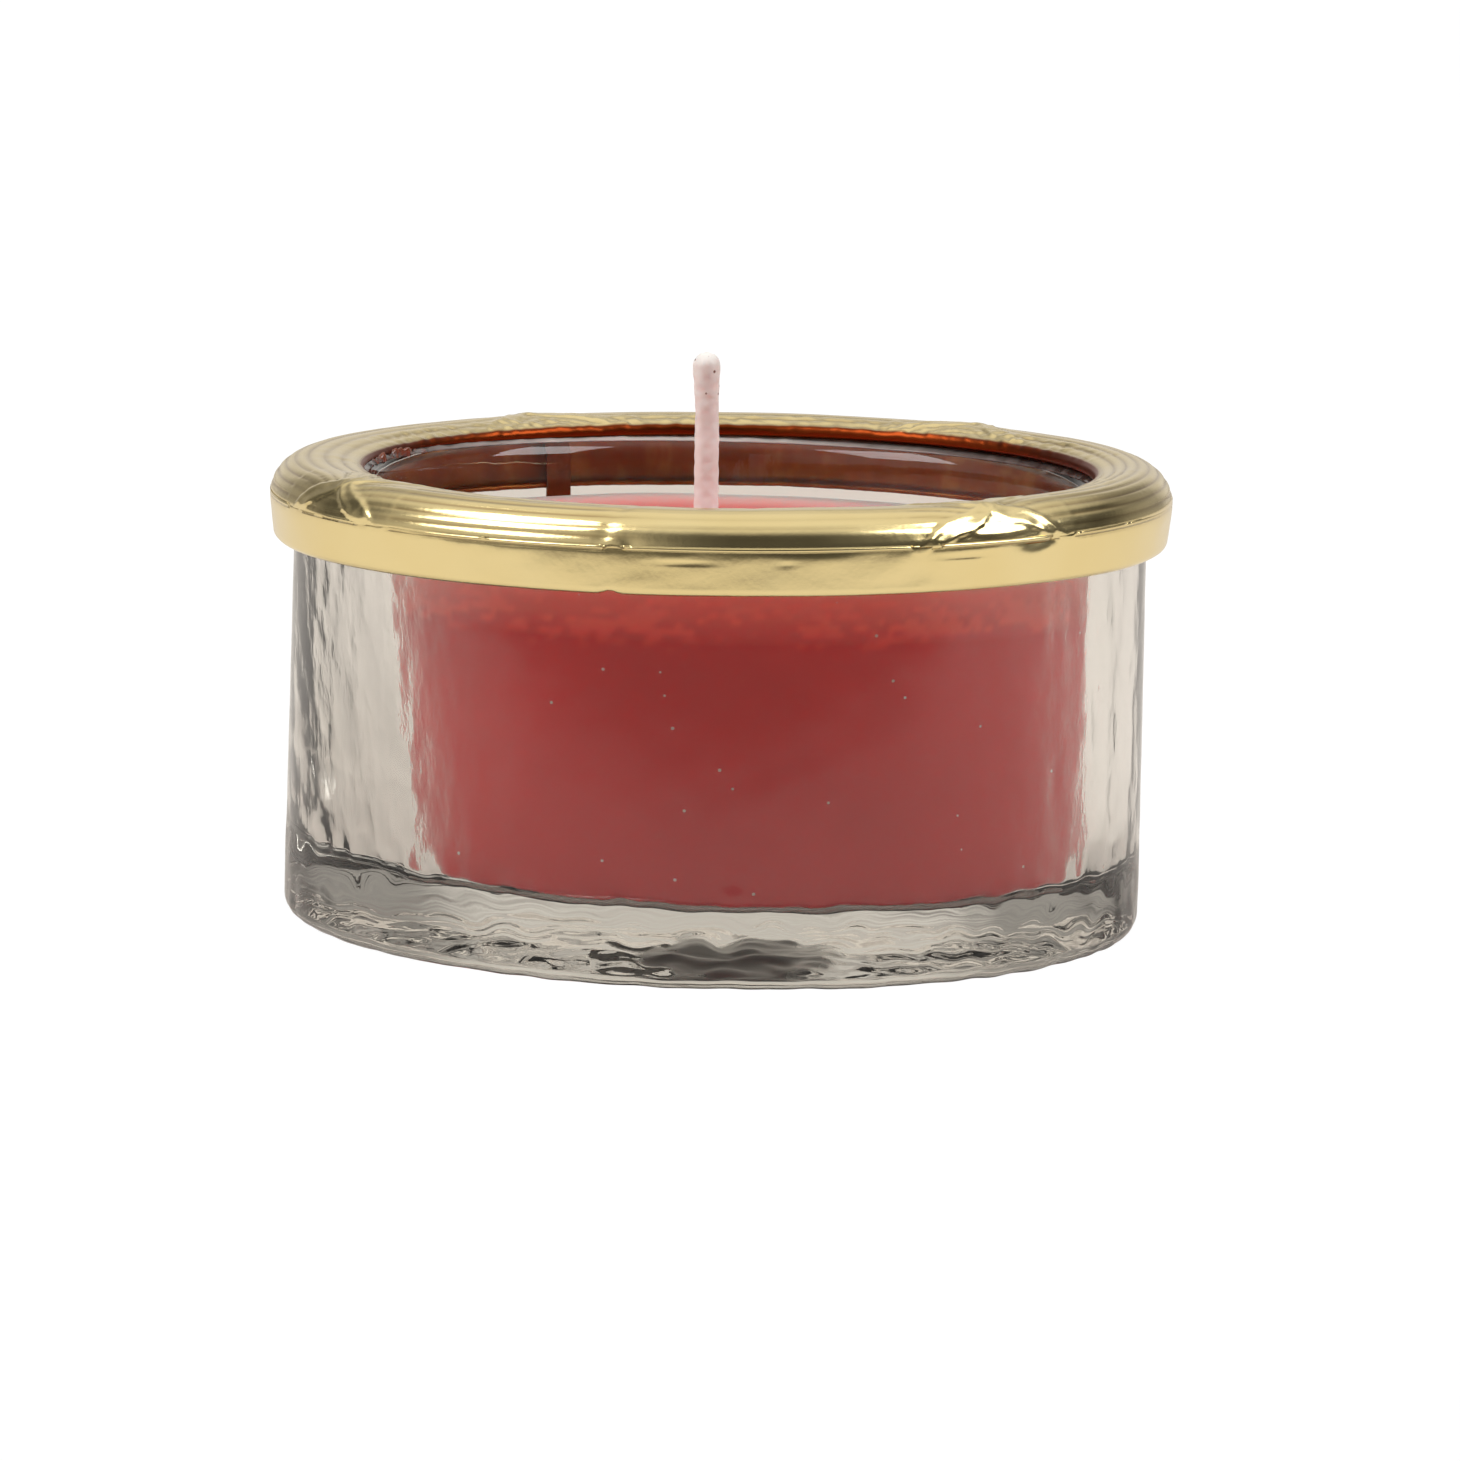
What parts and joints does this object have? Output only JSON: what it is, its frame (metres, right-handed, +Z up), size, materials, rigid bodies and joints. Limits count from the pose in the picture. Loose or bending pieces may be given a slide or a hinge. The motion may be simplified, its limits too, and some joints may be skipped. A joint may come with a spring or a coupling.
{
  "type": "tealight holder",
  "caption": "Round thick-walled glass cup with a reeded brass rim, filled with poured wax round a wick.",
  "frame": {"origin": "middle of the base, on the surface that it stands on", "axes": "+Z up along the cup's axis, -Y to the front, +X to the right"},
  "size_m": [0.085, 0.085, 0.0535],
  "materials": {
    "clear_glass": "clear pressed soda-lime glass, wavy inside",
    "polished_brass": "polished and lacquered, pale gold",
    "aged_brass": "dull, heat-stained",
    "clear_adhesive": "clear, slightly yellow",
    "red_wax": "translucent paraffin, satin",
    "waxed_cotton": "white cotton braid stiff with pale wax",
    "tinplate": "bright tinplate",
    "adhesive_dot": "matt, soaked with wax"
  },
  "bodies": {
    "root": {"glass_cup": "clear_glass", "brass_rim": "polished_brass", "rim_splice_plate": "aged_brass", "rim_adhesive": "clear_adhesive", "wax_fill": "red_wax", "wick": "waxed_cotton", "wick_sustainer": "tinplate", "wick_sticker": "adhesive_dot"}
  },
  "joints": []
}
